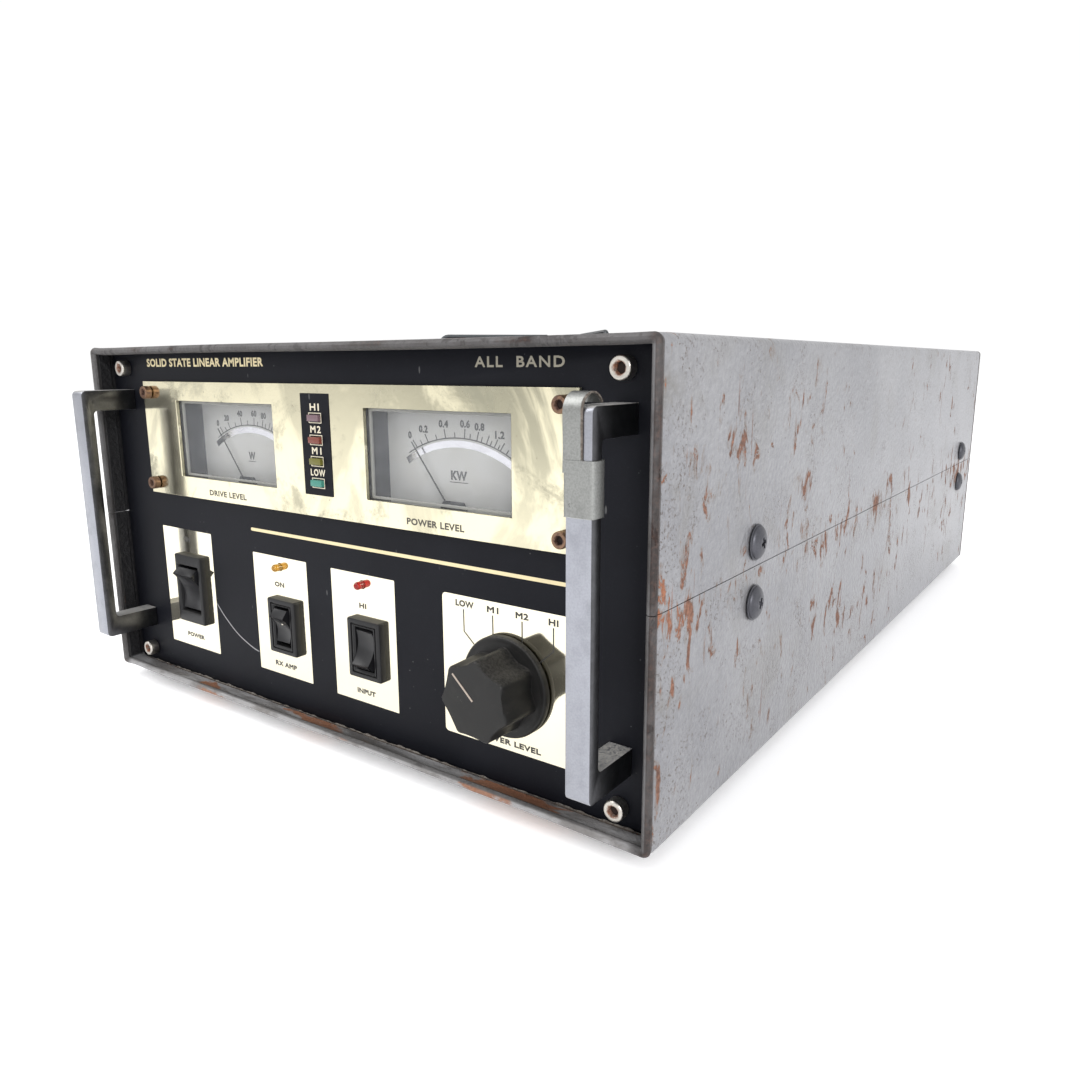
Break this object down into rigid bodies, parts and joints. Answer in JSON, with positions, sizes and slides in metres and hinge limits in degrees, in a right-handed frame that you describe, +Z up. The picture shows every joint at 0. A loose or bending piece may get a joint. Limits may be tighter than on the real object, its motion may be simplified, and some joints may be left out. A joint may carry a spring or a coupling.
{
  "type": "radio frequency amplifier",
  "caption": "Desktop solid-state linear amplifier in a folded steel case, with twin meters, rack handles, rocker switches and a level knob.",
  "frame": {"origin": "on the standing surface under the middle of the object's bounding box", "axes": "+X to the right seen from the front, +Y from the front panel to the rear, +Z up"},
  "size_m": [0.2966, 0.5152, 0.1623],
  "materials": {
    "silver_paint": "worn silver-grey enamel with rust along its edges",
    "black_paint": "satin black enamel",
    "galvanised": "dull zinc-plated sheet steel",
    "gold_plate": "polished pale brass colour, stained",
    "satin_steel": "satin chrome",
    "zinc_sheet": "galvanised sheet with rusty edges",
    "rusty_steel": "copper-brown rusted steel",
    "nickel": "nickel plated steel",
    "dark_screw": "dark grey steel",
    "rubber": "matte",
    "black_plastic": "black, slightly glossy",
    "dial_card": "pale grey printed card",
    "black_needle": "black lacquer",
    "clear_plastic": "clear acrylic",
    "aluminium": "plain aluminium",
    "circuit_board": "green solder mask",
    "amber_light": "tinted clear resin",
    "red_light": "tinted clear resin",
    "wound_core": "varnished copper winding on a steel core",
    "brass": "plain brass"
  },
  "bodies": {
    "case": {"top_cover": "silver_paint", "bottom_cover": "silver_paint", "front_panel": "black_paint", "rear_panel": "black_paint", "chassis_tray": "galvanised", "meter_plate": "gold_plate", "handle_left": "satin_steel", "handle_right": "satin_steel", "handle_clip": "zinc_sheet", "plate_screw_left_low": "rusty_steel", "panel_screw_left_low": "nickel", "cover_screw_left_front_low": "dark_screw", "cover_screw_left_rear_low": "dark_screw", "plate_screw_left_high": "rusty_steel", "panel_screw_left_high": "nickel", "cover_screw_left_front_high": "dark_screw", "cover_screw_left_rear_high": "dark_screw", "foot_left_front": "rubber", "foot_left_rear": "rubber", "meter_case_left": "black_plastic", "meter_dial_left": "dial_card", "meter_lens_left": "clear_plastic", "plate_screw_right_low": "rusty_steel", "panel_screw_right_low": "nickel", "cover_screw_right_front_low": "dark_screw", "cover_screw_right_rear_low": "dark_screw", "plate_screw_right_high": "rusty_steel", "panel_screw_right_high": "nickel", "cover_screw_right_front_high": "dark_screw", "cover_screw_right_rear_high": "dark_screw", "foot_right_front": "rubber", "foot_right_rear": "rubber", "meter_case_right": "black_plastic", "meter_dial_right": "dial_card", "meter_lens_right": "clear_plastic", "power_switch": "black_plastic", "receive_switch": "black_plastic", "input_switch": "black_plastic", "rotary_switch": "aluminium", "heat_sink": "aluminium", "fan_frame": "black_plastic", "mains_inlet": "black_plastic", "fuse_holder": "black_plastic", "level_lights": "circuit_board", "amplifier_board": "circuit_board", "receive_light": "amber_light", "input_light": "red_light", "transformer": "wound_core", "fan_guard": "dark_screw", "rf_input_socket": "nickel", "rf_output_socket": "nickel", "ground_post": "brass"},
    "knob": {"level_knob": "black_plastic"},
    "power_rocker": {"power_rocker": "black_plastic"},
    "receive_rocker": {"receive_rocker": "black_plastic"},
    "input_rocker": {"input_rocker": "black_plastic"},
    "left_needle": {"meter_needle_left": "black_needle"},
    "right_needle": {"meter_needle_right": "black_needle"},
    "rotor": {"fan_rotor": "black_plastic"},
    "fuse_cap": {"fuse_cap": "black_plastic"}
  },
  "joints": [
    {"name": "level_select", "type": "hinge", "parent": "case", "child": "knob", "pos_m": [0.08675, -0.2505, 0.0436], "axis": [0, 1, 0], "range_deg": [0, 90]},
    {"name": "power_press", "type": "hinge", "parent": "case", "child": "power_rocker", "pos_m": [-0.0921, -0.23222, 0.0489], "axis": [1, 0, 0], "range_deg": [-28, 0]},
    {"name": "receive_press", "type": "hinge", "parent": "case", "child": "receive_rocker", "pos_m": [-0.0274, -0.23291, 0.0431], "axis": [1, 0, 0], "range_deg": [-28, 0]},
    {"name": "input_press", "type": "hinge", "parent": "case", "child": "input_rocker", "pos_m": [0.0208, -0.23291, 0.0431], "axis": [1, 0, 0], "range_deg": [0, 28]},
    {"name": "left_needle_swing", "type": "hinge", "parent": "case", "child": "left_needle", "pos_m": [-0.058, -0.2233, 0.0936], "axis": [0, 1, 0], "range_deg": [0, 75], "stiffness_Nm_per_rad": 0.001},
    {"name": "right_needle_swing", "type": "hinge", "parent": "case", "child": "right_needle", "pos_m": [0.058, -0.2233, 0.0936], "axis": [0, 1, 0], "range_deg": [0, 75], "stiffness_Nm_per_rad": 0.001},
    {"name": "fan_spin", "type": "hinge", "parent": "case", "child": "rotor", "pos_m": [0, -0.062, 0.1288], "axis": [0, 0, 1], "continuous": true},
    {"name": "fuse_cap_turn", "type": "hinge", "parent": "case", "child": "fuse_cap", "pos_m": [0.042, 0.2358, 0.0503], "axis": [0, 1, 0], "range_deg": [0, 90]}
  ]
}
